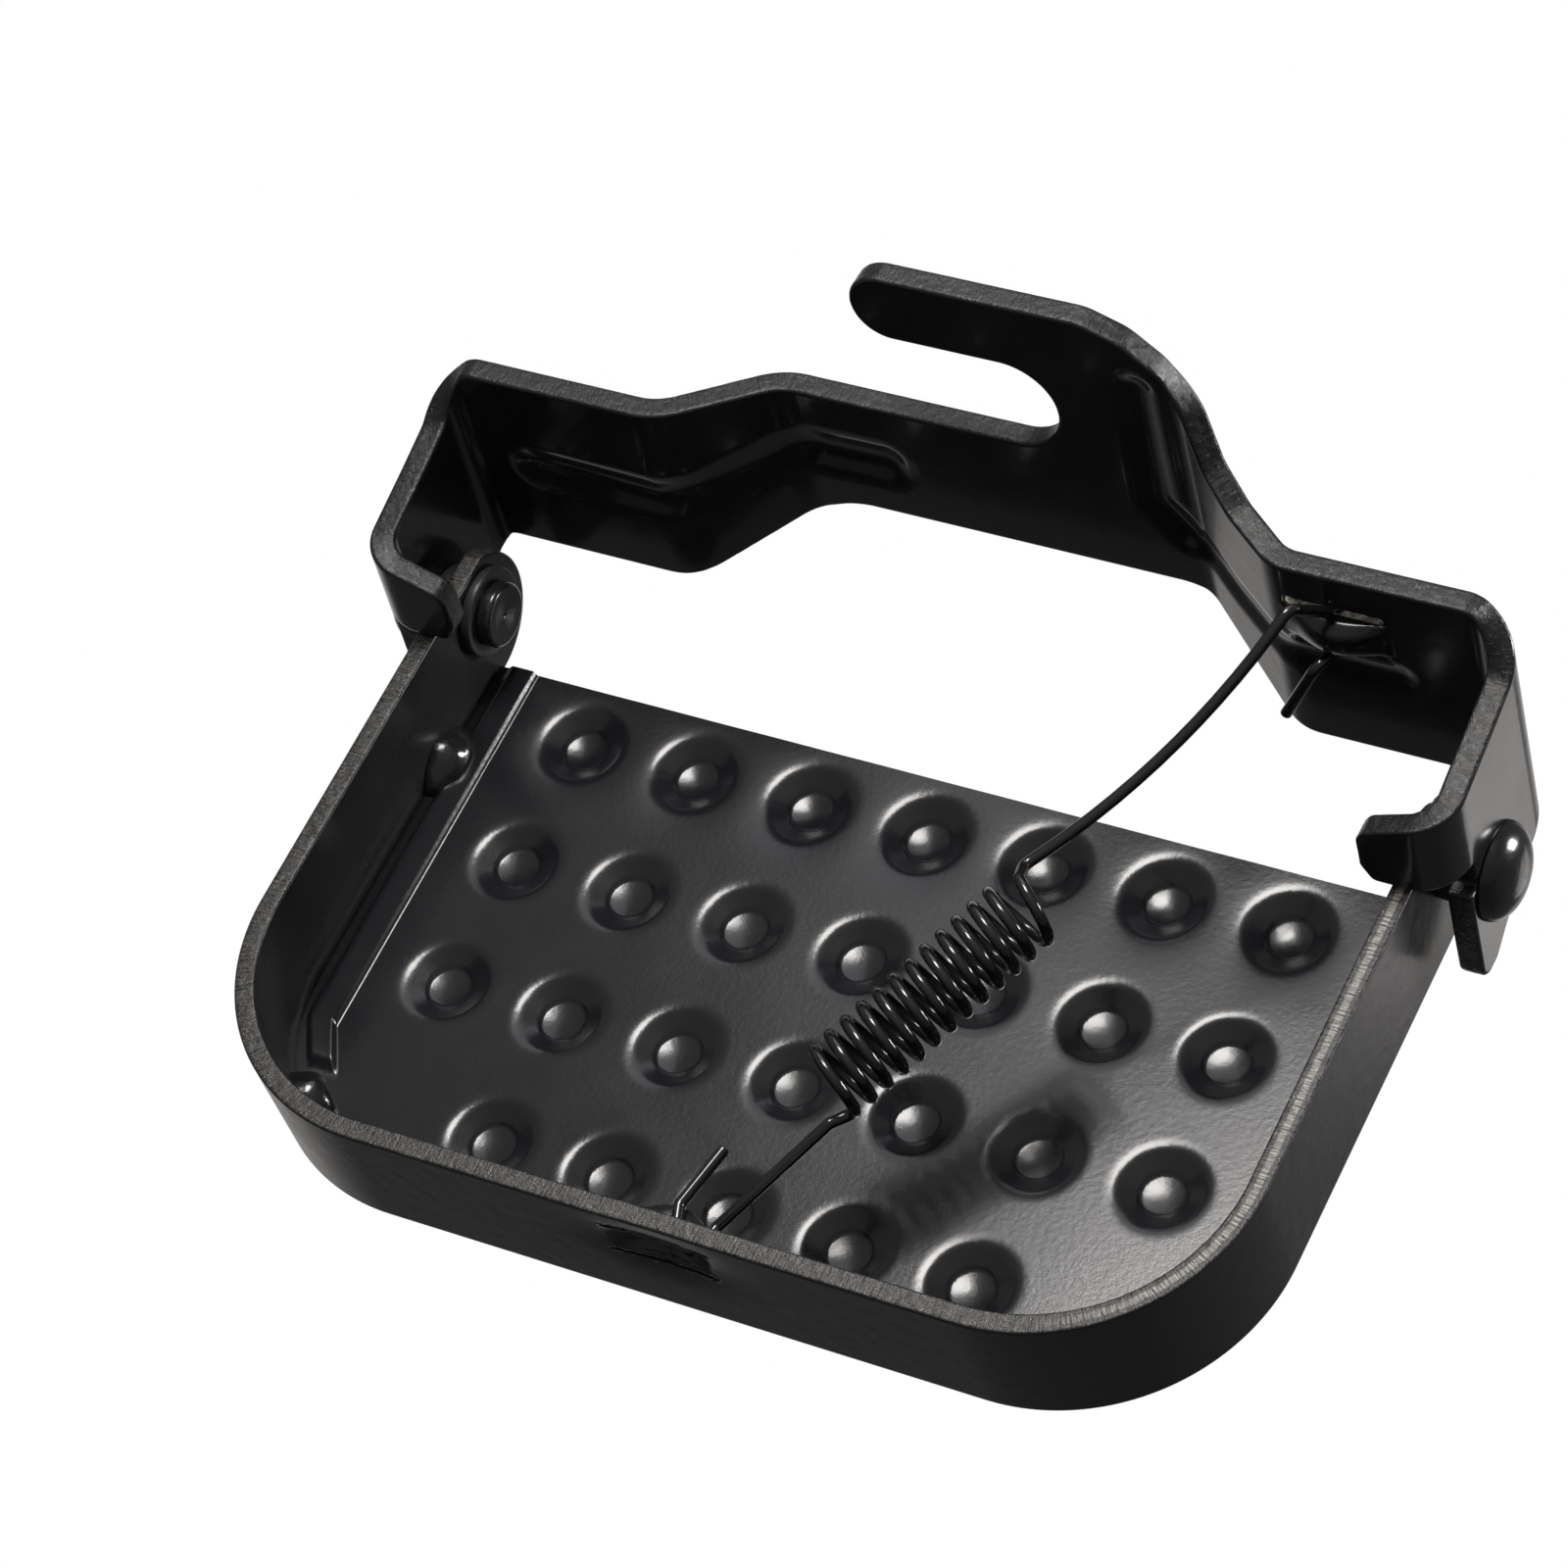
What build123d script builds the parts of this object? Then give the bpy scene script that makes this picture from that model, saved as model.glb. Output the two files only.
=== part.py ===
from build123d import *
import os
from math import sqrt

os.makedirs("parts", exist_ok=True)

# Fold-down step that hooks on a tailgate striker pin. Millimetres, +Z up.
# +X is the side the hook slot opens to, -Y the side the foot comes from.
# The origin is half way up the striker slot, in the middle of the hook plate's
# thickness and of the step's width.

# ---- hinge line -------------------------------------------------------------
PIVOT_Y = -36.5  # hinge line, in front of the hook plate's middle plane
PIVOT_Z = 55.0  # hinge line, above the striker pin
PEDAL_TILT = -6.0  # the open pedal rises this much towards its front, degrees
SHANK_R = 4.0
HEAD_R = 9.4
HEAD_H = 5.2
CLINCH_R = 6.5
CLINCH_START = 98.0
CLINCH_END = 95.0
RUNNING_CLEARANCE = 0.05

# ---- pedal, measured from the hinge line ------------------------------------
PEDAL_HALF_W = 104.0
PEDAL_FRONT = -120.1
BAND_T = 4.0
BAND_TOP = 17.1
BAND_RIM = -10.3
CORNER_R = 42.0
LUG_Y, LUG_Z = -1.5, 2.6  # middle of the band's rounded rear end
LUG_R = BAND_TOP - LUG_Z
SHEET_T = 2.0
SHEET_REAR = -2.4
SHEET_BOTTOM = BAND_TOP - SHEET_T

BUMP_H = 2.5
BUMP_BASE_R = 9.6
BUMP_DISC_R = 5.6
BUMP_WALL = 1.1
BUMP_PITCH_X = 25.0
BUMP_PITCH_Y = 28.66
BUMP_FIRST_Y = -14.4
BUMP_ROWS = (7, 7, 7, 5)

HEM_T = 1.2
HEM_INNER_X = 91.8
HEM_OUTER_X = 97.3
HEM_FRONT_Y = -76.0
HEM_CHAMFER = 5.0

# ---- bracket, measured from the hinge line ----------------------------------
PLATE_T = 5.0
ARM_X = 110.5  # middle of the arm plate
ARM_OUTER = ARM_X + PLATE_T / 2
ARM_INNER = ARM_X - PLATE_T / 2
SIDE_Y = 22.0  # middle of the side plates
MIDDLE_Y = 36.5  # middle of the hook plate
TAB_Y = -13.5  # middle of the stop tabs
TAB_TIP_X = 94.5
REST_Z = -9.2  # the stop tabs' upper edge, which the open pedal's rim rests on
BEND_R = 6.2  # radius of every bend at the middle of the plate
NEG_JOGGLE = (66.5, 44.5)  # where the joggle starts and ends on the -X side
POS_JOGGLE = (62.5, 42.5)
LOBE_ROOT_Y = -7.0
LOBE_FRONT_Y = -11.0
ARM_TOP = 19.0
CORNER_X = 104.0  # where the side plates start to bend into the arms

SIDE_TOP = -0.5
SIDE_BOTTOM = -45.0
MIDDLE_TOP = -16.5
SLOT_TOP = -45.0
SLOT_BOTTOM = -65.3
FINGER_BOTTOM = -80.7
SLOT_END_X = -18.3
FINGER_TIP_X = 21.0

# edges of the corner between a side plate and an arm, from the outside in (X, Z)
CORNER_UPPER = ((116, 8.6), (112, 8.4), (109.5, 6.0), (107, 2.0), (CORNER_X, SIDE_TOP))
CORNER_LOWER = ((116, -34.0), (112, -34.6), (108, -38.0), (CORNER_X, SIDE_BOTTOM))

# ---- spring -----------------------------------------------------------------
WIRE_R = 1.1
COIL_MEAN_R = 6.65
COIL_TURNS = 12.5
COIL_HEIGHT = 47.5
COIL_START = (-20.55, -83.82, -2.44)  # hinge-line coordinates, on the coil's axis
COIL_AXIS = (-0.4848, 0.8314, -0.2716)
COIL_START_SIDE = (-0.7516, -0.2372, 0.6155)  # from the axis to the wire's start
HOOK_X = -5.5  # where the lower hook sits in the band's strap
HOOK_BEND_R = 1.7


def at_pivot(shape):
    """A shape of the bracket, from hinge-line coordinates to the part's frame."""
    return Pos(0, PIVOT_Y, PIVOT_Z) * shape


def at_pedal(shape):
    """A shape of the pedal, tilted as it stands open."""
    return Pos(0, PIVOT_Y, PIVOT_Z) * Rot(PEDAL_TILT, 0, 0) * shape


def span_box(x0, x1, y0, y1, z0, z1):
    centre = Pos((x0 + x1) / 2, (y0 + y1) / 2, (z0 + z1) / 2)
    return centre * Box(abs(x1 - x0), abs(y1 - y0), abs(z1 - z0))


def x_cylinder(radius, x0, x1):
    return Pos((x0 + x1) / 2, 0, 0) * Rot(0, 90, 0) * Cylinder(radius, abs(x1 - x0))


def tray_outline(half_w, front, rear, corner_r):
    sheet = Pos(0, (front + rear) / 2) * Rectangle(2 * half_w, rear - front)
    return fillet(sheet.vertices().sort_by(Axis.Y)[:2], corner_r)


def strap(x0, x1, y_plane, bulge, thickness, z0, z1):
    """A band of the plate between two slits, pressed out of its plane."""
    run = 3.5
    path = [
        (x0 - 2, y_plane),
        (x0 + 1, y_plane),
        (x0 + 1 + run, y_plane + bulge),
        (x1 - 1 - run, y_plane + bulge),
        (x1 - 1, y_plane),
        (x1 + 2, y_plane),
    ]
    ribbon = trace(FilletPolyline(*path, radius=1.8), line_width=thickness)
    return Pos(0, 0, z0) * extrude(ribbon, z1 - z0)


def pedal_band():
    rear = LUG_R + 2
    outer = tray_outline(PEDAL_HALF_W, PEDAL_FRONT, rear, CORNER_R)
    inner_front = PEDAL_FRONT + BAND_T
    inner = tray_outline(PEDAL_HALF_W - BAND_T, inner_front, rear + 10, CORNER_R - BAND_T)
    band = Pos(0, 0, BAND_RIM) * extrude(outer - inner, BAND_TOP - BAND_RIM)
    reach = span_box(-120, 120, PEDAL_FRONT - 5, LUG_Y, -40, 40)
    round_end = Pos(0, LUG_Y, LUG_Z) * x_cylinder(LUG_R, -120, 120)
    band = band & (reach + round_end)
    band -= x_cylinder(SHANK_R + RUNNING_CLEARANCE, -120, 120)
    slot = span_box(-13, 11, PEDAL_FRONT - 5, inner_front + 5, -7.0, 3.2)
    loop = strap(-13, 11, PEDAL_FRONT + BAND_T / 2, 5.0, 3.0, -4.2, 0.8)
    return at_pedal(band - slot + loop)


def bump_centres():
    for row, count in enumerate(BUMP_ROWS):
        for i in range(count):
            x = (i - (count - 1) / 2) * BUMP_PITCH_X
            yield x, BUMP_FIRST_Y - row * BUMP_PITCH_Y


def tread_plate():
    half_w = PEDAL_HALF_W - BAND_T
    inner = tray_outline(half_w, PEDAL_FRONT + BAND_T, SHEET_REAR, CORNER_R - BAND_T)
    sheet = Pos(0, 0, SHEET_BOTTOM) * extrude(inner, SHEET_T)
    top = BAND_TOP + BUMP_H / 2
    bottom = SHEET_BOTTOM + BUMP_H / 2
    for x, y in bump_centres():
        sheet += Pos(x, y, top) * Cone(BUMP_BASE_R, BUMP_DISC_R, BUMP_H)
    for x, y in bump_centres():
        hollow = Cone(BUMP_BASE_R - BUMP_WALL, BUMP_DISC_R - BUMP_WALL, BUMP_H)
        sheet -= Pos(x, y, bottom) * hollow
    for side in (-1, 1):
        hem = Polygon(
            (side * HEM_OUTER_X, SHEET_REAR - 1),
            (side * HEM_INNER_X, SHEET_REAR - 1),
            (side * HEM_INNER_X, HEM_FRONT_Y),
            (side * (HEM_INNER_X - HEM_CHAMFER), HEM_FRONT_Y - 2 * HEM_CHAMFER),
            (side * (HEM_OUTER_X - HEM_CHAMFER), HEM_FRONT_Y - 2 * HEM_CHAMFER),
            (side * HEM_OUTER_X, HEM_FRONT_Y),
            align=None,
        )
        sheet += Pos(0, 0, SHEET_BOTTOM - HEM_T) * extrude(hem, HEM_T, dir=(0, 0, 1))
    return at_pedal(sheet)


def weld_beads(sheet):
    """Blobs in the corner between the tread plate's underside and the band."""
    half_w = PEDAL_HALF_W - BAND_T
    arc_x = half_w - (CORNER_R - BAND_T) * (1 - 1 / sqrt(2))
    arc_y = PEDAL_FRONT + BAND_T + (CORNER_R - BAND_T) * (1 - 1 / sqrt(2))
    inner = tray_outline(half_w, PEDAL_FRONT + BAND_T, 20, CORNER_R - BAND_T)
    room = Pos(0, 0, -5) * extrude(inner, SHEET_BOTTOM + 5)
    spots = {
        "rear": (half_w, -26.4),
        "front": (arc_x, arc_y),
    }
    for side, hand in ((1, "right"), (-1, "left")):
        for name, (x, y) in spots.items():
            blob = Pos(side * x, y, SHEET_BOTTOM) * Sphere(6.5)
            yield f"weld_bead_{hand}_{name}", at_pedal(blob & room) - sheet


def plate_outline():
    """Front view of the hook plate, joggles and side plates (X, Z)."""
    with BuildSketch(Plane.XZ) as sketch:
        with BuildLine():
            Polyline(*((-x, z) for x, z in CORNER_UPPER), (-NEG_JOGGLE[0], SIDE_TOP))
            Spline(
                (-NEG_JOGGLE[0], SIDE_TOP),
                (-54, -9.0),
                (-40, MIDDLE_TOP),
                tangents=((1, 0), (1, 0)),
            )
            Line((-40, MIDDLE_TOP), (30, MIDDLE_TOP))
            Spline(
                (30, MIDDLE_TOP),
                (47, -9.0),
                (65, SIDE_TOP),
                tangents=((1, 0), (1, 0)),
            )
            Polyline((65, SIDE_TOP), *reversed(CORNER_UPPER), *CORNER_LOWER)
            Line(CORNER_LOWER[-1], (FINGER_TIP_X + 20, SIDE_BOTTOM))
            Line((FINGER_TIP_X + 20, SIDE_BOTTOM), (FINGER_TIP_X + 20, FINGER_BOTTOM))
            Line((FINGER_TIP_X + 20, FINGER_BOTTOM), (-26, FINGER_BOTTOM))
            Spline(
                (-26, FINGER_BOTTOM),
                (-36.5, -76.2),
                (-44.5, -67.0),
                (-48.5, -54.5),
                tangents=((-1, 0), (-0.2, 1)),
            )
            Spline(
                (-48.5, -54.5),
                (-55.0, -47.5),
                (-66.0, SIDE_BOTTOM),
                tangents=((-0.2, 1), (-1, 0)),
            )
            Polyline((-66.0, SIDE_BOTTOM), *((-x, z) for x, z in reversed(CORNER_LOWER)))
            Line((-CORNER_LOWER[0][0], CORNER_LOWER[0][1]), (-CORNER_UPPER[0][0], CORNER_UPPER[0][1]))
        make_face()
    return sketch.sketch


def slot_shape():
    """The striker slot, open to +X, and the space beside the finger's round tip."""
    height = SLOT_TOP - SLOT_BOTTOM
    middle = (SLOT_TOP + SLOT_BOTTOM) / 2
    end = Pos(SLOT_END_X + height / 2, 0, middle) * Rot(90, 0, 0) * Cylinder(height / 2, 80)
    run = span_box(SLOT_END_X + height / 2, 60, -40, 40, SLOT_BOTTOM, SLOT_TOP)
    tip_r = (SLOT_BOTTOM - FINGER_BOTTOM) / 2
    tip_z = (SLOT_BOTTOM + FINGER_BOTTOM) / 2
    beside = span_box(FINGER_TIP_X - tip_r, 60, -40, 40, FINGER_BOTTOM - 5, SLOT_BOTTOM)
    tip = Pos(FINGER_TIP_X - tip_r, 0, tip_z) * Rot(90, 0, 0) * Cylinder(tip_r, 90)
    return Pos(0, MIDDLE_Y, 0) * (end + run + (beside - tip))


def arm_outline():
    """Side view of an arm with its forward strip (Y, Z)."""
    with BuildSketch(Plane.YZ) as sketch:
        with BuildLine():
            Polyline(
                (30, 2),
                (22, 3.0),
                (17, 7.5),
                (10.5, 9.4),
                (-0.5, 15.6),
                (-9.0, ARM_TOP),
                (-20, ARM_TOP),
                (-20, -27.0),
                (-10.5, -27.5),
                (-4.5, -28.7),
                (5, -31.3),
                (14.5, -34.0),
                (30, -39.0),
                (30, 2),
            )
        make_face()
    return sketch.sketch


def tab_outline():
    """Front view of both stop tabs together (X, Z)."""
    right = Polygon(
        (125, -12.0), (111.5, -11.5), (104.5, REST_Z), (99.0, REST_Z), (96.0, REST_Z - 1.2),
        (94.2, REST_Z - 3.5), (94.2, -19.5), (96.0, -22.0), (106, -26.0), (113, -29.5),
        (125, -30.0), align=None,
    )
    return Plane.XZ * (right + mirror(right, Plane.YZ))


def ribbon_path():
    return FilletPolyline(
        (-TAB_TIP_X, TAB_Y),
        (-ARM_X, TAB_Y),
        (-ARM_X, SIDE_Y),
        (-NEG_JOGGLE[0], SIDE_Y),
        (-NEG_JOGGLE[1], MIDDLE_Y),
        (POS_JOGGLE[1], MIDDLE_Y),
        (POS_JOGGLE[0], SIDE_Y),
        (ARM_X, SIDE_Y),
        (ARM_X, TAB_Y),
        (TAB_TIP_X, TAB_Y),
        radius=BEND_R,
    )


def bent_plate():
    ribbon = Pos(0, 0, -95) * extrude(trace(ribbon_path(), line_width=PLATE_T), 125)
    front_outline = extrude(plate_outline(), 100, both=True)
    side_outline = extrude(arm_outline(), 150, both=True)
    tabs = extrude(tab_outline(), 100, both=True)
    bend_start = SIDE_Y - PLATE_T / 2 - 5
    plate_zone = span_box(-CORNER_X, CORNER_X, 0, 60, -100, 40)
    corner_zone = span_box(CORNER_X, 140, bend_start, 60, -100, 40)
    corner_zone += span_box(-140, -CORNER_X, bend_start, 60, -100, 40)
    arm_zone = span_box(-140, 140, -8.5, bend_start, -100, 40)
    tab_zone = span_box(-140, 140, -40, -8.5, -100, 40)
    plate = ribbon & plate_zone & front_outline
    plate += ribbon & corner_zone & front_outline
    plate += ribbon & arm_zone & side_outline
    plate += ribbon & tab_zone & tabs
    return plate - slot_shape()


def lobes():
    """The arms' upper ends, which pass the stop tabs' bends."""
    pair = Part()
    for side in (-1, 1):
        lobe = span_box(side * ARM_INNER, side * ARM_OUTER, LOBE_ROOT_Y, LOBE_FRONT_Y, -3.5, ARM_TOP)
        front = lobe.edges().filter_by(Axis.X).group_by(Axis.Y)[0]
        pair += fillet(front.sort_by(Axis.Z)[-1], 2.2)
    return pair


def groove(path, width, depth):
    """A pressed groove in a plate's -Y face, along a path in X and Z."""
    with BuildSketch(Plane.XZ) as sketch:
        with BuildLine() as line:
            FilletPolyline(*path, radius=6.0)
        trace(line.line, line_width=width)
    return extrude(sketch.sketch, depth, both=True)


def latch_bracket():
    bracket = bent_plate() + lobes()
    middle_face = MIDDLE_Y - PLATE_T / 2
    side_face = SIDE_Y - PLATE_T / 2
    upright = [(-35.6, -64.0), (-35.6, -34.0), (-41.0, -29.0)]
    bracket -= Pos(0, middle_face, 0) * groove(upright, 8.0, 1.4)
    bracket -= Pos(0, side_face, 0) * groove([(-93, -26), (-80, -26), (-70, -26.5)], 9.0, 1.4)
    bracket -= Pos(0, side_face, 0) * groove([(66, -28), (80, -27), (92, -26)], 9.0, 1.4)
    slit = span_box(-88, -67, 10, 30, -38.5, -24.5)
    bracket = bracket - slit + strap(-88, -67, SIDE_Y, -4.0, 3.5, -34.5, -28.0)
    bracket -= x_cylinder(SHANK_R, -120, 120)
    return at_pivot(bracket)


def pivot_rivet(side):
    """A round-head rivet: dome outside the arm, clinched end inside the band."""
    ball_r = (HEAD_R**2 + HEAD_H**2) / (2 * HEAD_H)
    ball = Pos(-ARM_OUTER - HEAD_H + ball_r, 0, 0) * Sphere(ball_r)
    head = ball & span_box(-ARM_OUTER - HEAD_H - 1, -ARM_OUTER, -20, 20, -20, 20)
    shank = x_cylinder(SHANK_R, -ARM_OUTER, -CLINCH_START)
    clinch = x_cylinder(CLINCH_R, -CLINCH_START, -CLINCH_END)
    rivet = head + shank + clinch
    return at_pivot(rivet if side < 0 else mirror(rivet, Plane.YZ))


def washer(side, x0, x1, outer_r, bore_r):
    ring = x_cylinder(outer_r, side * x0, side * x1) - x_cylinder(bore_r, side * x0, side * x1)
    return at_pivot(ring)


def pedal_point(x, y, z):
    return at_pedal(Pos(x, y, z)).position


def bracket_point(x, y, z):
    return at_pivot(Pos(x, y, z)).position


def coil_plane():
    """At the coil's lower end, z along its axis and x towards the wire's start."""
    return Plane(origin=bracket_point(*COIL_START), x_dir=COIL_START_SIDE, z_dir=COIL_AXIS)


def coil_helix():
    return Helix(
        pitch=COIL_HEIGHT / COIL_TURNS, height=COIL_HEIGHT, radius=COIL_MEAN_R, lefthand=True
    )


def tube(points, radius):
    path = FilletPolyline(*points, radius=radius)
    start = Plane(origin=path @ 0, z_dir=path % 0)
    return sweep(start * Circle(WIRE_R), path=path)


def spring_coil():
    """The coil with the straight run up to the bracket and the hook round its strap."""
    plane = coil_plane()
    helix = coil_helix()
    profile = Plane(origin=helix @ 0, z_dir=helix % 0) * Circle(WIRE_R)
    coil = plane * sweep(profile, path=helix, is_frenet=True)
    end = plane.from_local_coords(helix @ 1)
    tail = [
        end,
        end + plane.z_dir * 4,
        bracket_point(-72.5, 12.5, -42.8),
        bracket_point(-76.3, 18.3, -37.3),
        bracket_point(-77.0, 21.8, -36.5),
        bracket_point(-77.5, 21.8, -26.3),
        bracket_point(-74.5, 14.5, -25.8),
        bracket_point(-68.0, 12.0, -14.0),
    ]
    return coil + tube(tail, HOOK_BEND_R)


def spring_lower_hook():
    """The straight run from the coil to the pedal and the hook round the band's strap."""
    plane = coil_plane()
    helix = coil_helix()
    begin = plane.from_local_coords(helix @ 0)
    back = plane.from_local_coords((helix @ 0) - (helix % 0)) - begin
    tail = [
        begin + back * 0.05,
        begin + back * 2.8,
        pedal_point(-21.0, -88.0, -5.6),
        pedal_point(HOOK_X - 1.5, -110.0, 2.0),
        pedal_point(HOOK_X, -116.6, 2.0),
        pedal_point(HOOK_X + 1.5, -116.6, -5.6),
        pedal_point(HOOK_X + 3.3, -111.5, -5.6),
        pedal_point(HOOK_X + 0.3, -99.0, -6.2),
    ]
    return tube(tail, HOOK_BEND_R)


def write(name, shape):
    export_step(shape, f"parts/{name}.step")


def main():
    write("latch_bracket", latch_bracket())
    write("pedal_band", pedal_band())
    sheet = tread_plate()
    write("tread_plate", sheet)
    for name, bead in weld_beads(sheet):
        write(name, bead)
    for side, hand in ((1, "right"), (-1, "left")):
        write(f"pivot_rivet_{hand}", pivot_rivet(side))
        write(f"pivot_spacer_{hand}", washer(side, 104.05, ARM_INNER, 7.5, SHANK_R))
        write(f"clinch_washer_{hand}", washer(side, CLINCH_START, 99.95, 9.0, SHANK_R))
    write("spring_coil", spring_coil())
    write("spring_lower_hook", spring_lower_hook())


main()
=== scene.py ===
import math

import bmesh
import bpy
import numpy as np
from mathutils import Matrix, Vector
from mathutils.geometry import delaunay_2d_cdt


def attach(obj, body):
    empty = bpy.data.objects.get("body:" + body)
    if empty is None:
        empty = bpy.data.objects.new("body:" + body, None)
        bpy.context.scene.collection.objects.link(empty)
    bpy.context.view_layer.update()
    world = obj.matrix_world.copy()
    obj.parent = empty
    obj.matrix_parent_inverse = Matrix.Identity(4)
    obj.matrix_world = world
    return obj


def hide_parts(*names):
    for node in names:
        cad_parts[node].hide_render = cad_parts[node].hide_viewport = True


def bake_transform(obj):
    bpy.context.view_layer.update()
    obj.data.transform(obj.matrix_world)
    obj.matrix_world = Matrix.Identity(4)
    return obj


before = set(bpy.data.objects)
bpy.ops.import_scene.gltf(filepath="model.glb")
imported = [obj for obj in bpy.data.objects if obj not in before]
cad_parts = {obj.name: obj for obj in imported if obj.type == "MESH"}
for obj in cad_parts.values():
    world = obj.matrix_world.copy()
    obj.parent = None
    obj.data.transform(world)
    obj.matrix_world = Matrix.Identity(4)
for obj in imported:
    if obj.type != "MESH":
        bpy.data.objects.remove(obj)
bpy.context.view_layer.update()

MM = 0.001

# ---- sizes in millimetres, the same as the CAD's ---------------------------------
PIVOT_Y, PIVOT_Z = -36.5, 55.0
TILT = math.radians(-6.0)
PLATE_T, BAND_T, SHEET_T = 5.0, 4.0, 2.0
BAND_TOP, BAND_RIM = 17.1, -10.3
HALF_W, FRONT = 104.0, -120.1
CORNER_R = 42.0
SHEET_REAR = -2.4
SHEET_BOTTOM = BAND_TOP - SHEET_T
REST_Z = -9.2
BORE_R = 4.0
ARM_X = 110.5  # an arm's middle plane
ARM_END_Y = -7.3  # where an arm's flat ends and its stop tab's bend starts
WIRE_R, COIL_R = 1.12, 6.65
COIL_TURNS, COIL_PITCH = 12.5, 3.775
HASH_X, HASH_Y, HASH_Z, HASH_SEED, HASH_MIX = 73856093, 19349663, 83492791, 2654435, 1274126177


# ---- frames: hinge-line coordinates in mm to the part's frame in metres ----------
def bracket_place(p):
    return (np.asarray(p, float) + np.array([0.0, PIVOT_Y, PIVOT_Z])) * MM


def pedal_place(p):
    p = np.asarray(p, float)
    c, s = math.cos(TILT), math.sin(TILT)
    q = np.stack(
        [
            p[..., 0],
            PIVOT_Y + p[..., 1] * c - p[..., 2] * s,
            PIVOT_Z + p[..., 1] * s + p[..., 2] * c,
        ],
        axis=-1,
    )
    return q * MM


# ---- noise without any texture, for shapes ----------------------------------------
def value_noise(points, scale, seed):
    """Smooth noise in -1..1 at points (N x 3), one feature per `scale`."""
    q = np.asarray(points, float) / scale
    base = np.floor(q).astype(np.int64)
    f = q - base
    f = f * f * (3 - 2 * f)
    total = np.zeros(len(q))
    for corner in range(8):
        o = np.array([(corner >> k) & 1 for k in range(3)])
        b = base + o
        h = b[:, 0] * HASH_X ^ b[:, 1] * HASH_Y ^ b[:, 2] * HASH_Z ^ seed * HASH_SEED
        h = (h ^ (h >> 13)) * HASH_MIX
        value = ((h ^ (h >> 16)) & 0xFFFF) / 32767.5 - 1.0
        w = np.prod(np.where(o, f, 1 - f), axis=1)
        total += value * w
    return total


# ---- sheet-metal meshing ----------------------------------------------------------
FACE_INSET = 0.35  # from an edge's rounding to the flat face's own mesh
UV_SCALE = 10.0  # UV units to a metre


# ---- bent strips --------------------------------------------------------------------
class Strip:
    """The middle line of a bent strip seen from above: straight runs joined by arcs."""

    def __init__(self, corners, radii):
        pts = [np.array(c, float) for c in corners]
        self.parts = []
        self.length = 0.0
        start = pts[0]
        for i in range(1, len(pts) - 1):
            a = (pts[i] - pts[i - 1]) / np.linalg.norm(pts[i] - pts[i - 1])
            b = (pts[i + 1] - pts[i]) / np.linalg.norm(pts[i + 1] - pts[i])
            turn = math.atan2(a[0] * b[1] - a[1] * b[0], a @ b)
            radius = radii[i - 1]
            cut = radius * math.tan(abs(turn) / 2)
            self._line(start, pts[i] - a * cut)
            side = 1.0 if turn > 0 else -1.0
            centre = pts[i] - a * cut + side * radius * np.array([-a[1], a[0]])
            a0 = math.atan2(-side * a[0], side * a[1])
            self.parts.append(("arc", self.length, radius * abs(turn), centre, a0, side, radius))
            self.length += radius * abs(turn)
            start = pts[i] + b * cut
        self._line(start, pts[-1])

    def _line(self, p, q):
        length = np.linalg.norm(q - p)
        self.parts.append(("line", self.length, length, p, (q - p) / length))
        self.length += length

    def at(self, s):
        """Points and left-hand normals at distances s along the strip."""
        s = np.asarray(s, float)
        pos = np.zeros((len(s), 2))
        nor = np.zeros((len(s), 2))
        last = len(self.parts) - 1
        for i, part in enumerate(self.parts):
            lo = -1e9 if i == 0 else part[1]
            hi = 1e9 if i == last else part[1] + part[2]
            m = (s >= lo) & (s < hi)
            t = s[m] - part[1]
            if part[0] == "line":
                pos[m] = part[3] + t[:, None] * part[4]
                nor[m] = (-part[4][1], part[4][0])
            else:
                _, _, _, centre, a0, side, radius = part
                a = a0 + side * t / radius
                ray = np.stack([np.cos(a), np.sin(a)], axis=1)
                pos[m] = centre + radius * ray
                nor[m] = -side * ray
        return pos, nor

    def bends(self, margin=1.5):
        return [(p[1] - margin, p[1] + p[2] + margin) for p in self.parts if p[0] == "arc"]


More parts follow.
